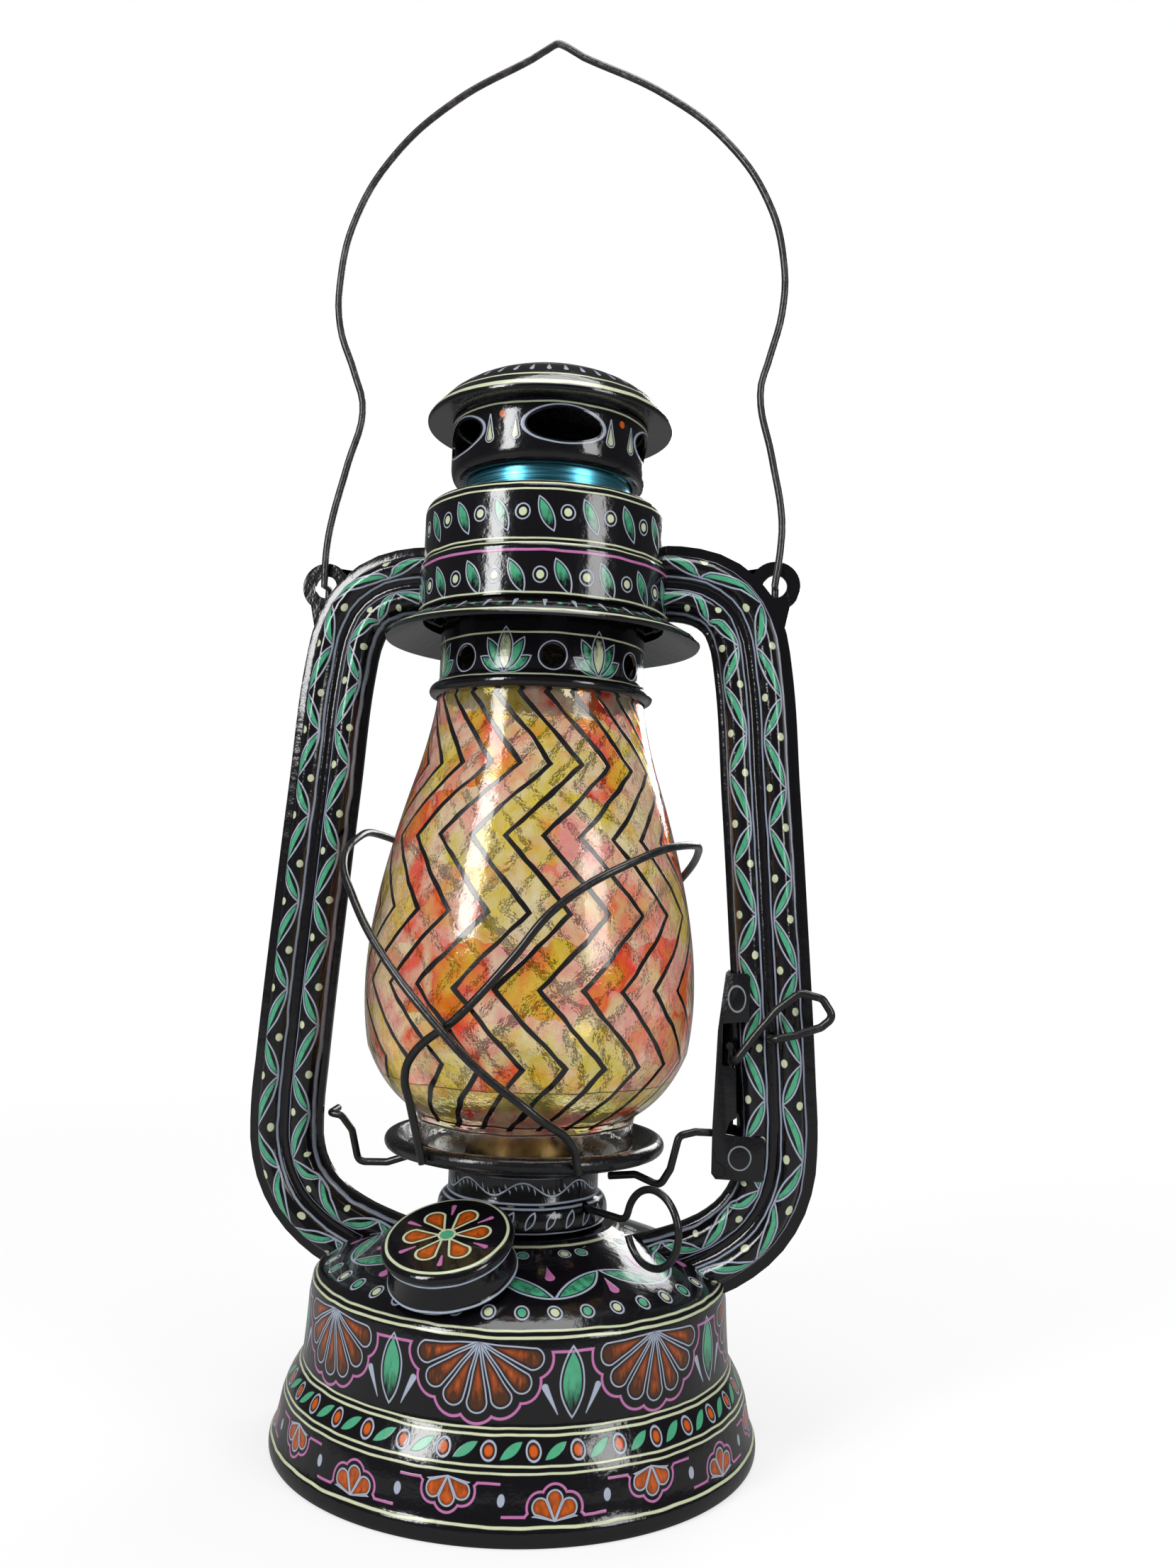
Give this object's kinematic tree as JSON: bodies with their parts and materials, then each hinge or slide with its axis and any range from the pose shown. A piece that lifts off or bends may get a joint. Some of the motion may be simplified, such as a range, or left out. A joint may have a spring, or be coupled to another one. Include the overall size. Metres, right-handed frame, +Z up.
{
  "type": "oil lantern",
  "caption": "Hurricane oil lantern with a round fuel tank, a glass globe between curved side tubes, a vented cap, a wick knob, a globe lift lever and a wire bail.",
  "frame": {"origin": "on the lantern's upright axis, at the underside of the foot", "axes": "+Z up, X through the two side tubes with the lift lever at +X, the side seen in the picture at -Y"},
  "size_m": [0.1588, 0.1266, 0.3866],
  "materials": {
    "black_enamel": "gloss black enamel, hand-painted over",
    "black_wire": "semi-gloss black",
    "tinned_steel": "tinned",
    "blued_steel": "bare metal with a blue tint",
    "brass": "satin",
    "painted_glass": "clear glass with translucent paint",
    "cotton": "woven",
    "cork": "matte cork"
  },
  "bodies": {
    "frame": {"fuel_tank": "black_enamel", "tank_bottom": "black_enamel", "filler_neck": "tinned_steel", "burner_collar": "black_enamel", "burner_drum": "brass", "burner_cone": "brass", "wick_tube": "brass", "side_tube_right": "black_enamel", "side_tube_left": "black_enamel", "air_chamber": "black_enamel", "chamber_skirt": "black_enamel", "lift_bracket": "black_enamel"},
    "bail": {"bail_wire": "black_wire"},
    "lever": {"lift_lever": "black_wire"},
    "globe_carriage": {"globe_plate": "black_enamel", "guard_wire_a": "black_wire", "guard_wire_b": "black_wire", "lift_wire_left": "black_wire", "lift_wire_right": "black_wire"},
    "globe": {"globe_glass": "painted_glass"},
    "chimney": {"chimney_tube": "black_enamel", "neck_ring": "blued_steel", "cap_body": "black_enamel", "cap_top": "black_enamel", "cap_staple": "black_wire"},
    "ring": {"cap_ring": "black_wire"},
    "wick_knob": {"wick_shaft": "black_wire", "wick_wheel_inner": "brass", "wick_wheel_outer": "brass"},
    "wick_strip": {"wick": "cotton"},
    "filler_washer": {"cap_gasket": "cork"},
    "fuel_cap": {"filler_cap": "black_enamel"}
  },
  "joints": [
    {"name": "bail_swing", "type": "hinge", "parent": "frame", "child": "bail", "pos_m": [0, 0, 0.228], "axis": [1, 0, 0], "range_deg": [0, 104]},
    {"name": "lever_tilt", "type": "hinge", "parent": "frame", "child": "lever", "pos_m": [0.0652, 0, 0.1074], "axis": [0, 1, 0], "range_deg": [0, 40]},
    {"name": "carriage_lift", "type": "slide", "parent": "frame", "child": "globe_carriage", "axis": [0, 0, 1], "range_m": [0, 0.0073]},
    {"name": "globe_lift", "type": "slide", "parent": "globe_carriage", "child": "globe", "axis": [0, 0, 1], "range_m": [0, 0.003]},
    {"name": "chimney_lift", "type": "slide", "parent": "globe", "child": "chimney", "axis": [0, 0, 1], "range_m": [0, 0.006]},
    {"name": "ring_fold", "type": "hinge", "parent": "chimney", "child": "ring", "pos_m": [0.0005, 0, 0.2892], "axis": [0, 1, 0], "range_deg": [0, 172]},
    {"name": "wick_turn", "type": "hinge", "parent": "frame", "child": "wick_knob", "pos_m": [0.00291, 0.0033, 0.0623], "axis": [0.7501, -0.6613, 0], "range_deg": [-90, 90]},
    {"name": "wick_feed", "type": "slide", "parent": "frame", "child": "wick_strip", "axis": [0, 0, 1], "range_m": [-0.0042, 0.0042]},
    {"name": "washer_rise", "type": "slide", "parent": "frame", "child": "filler_washer", "axis": [-0.0843, -0.365, 0.9272], "range_m": [0, 0.0026]},
    {"name": "cap_turn", "type": "hinge", "parent": "filler_washer", "child": "fuel_cap", "pos_m": [-0.00979, -0.04239, 0.0612], "axis": [-0.0843, -0.365, 0.9272], "range_deg": [0, 360]}
  ],
  "couplings": [
    {"joint": "lever_tilt", "follows": "carriage_lift", "rad_per_m": 95.6},
    {"joint": "wick_turn", "follows": "wick_feed", "rad_per_m": -370.37},
    {"joint": "washer_rise", "follows": "cap_turn", "m_per_rad": 0.000398}
  ]
}
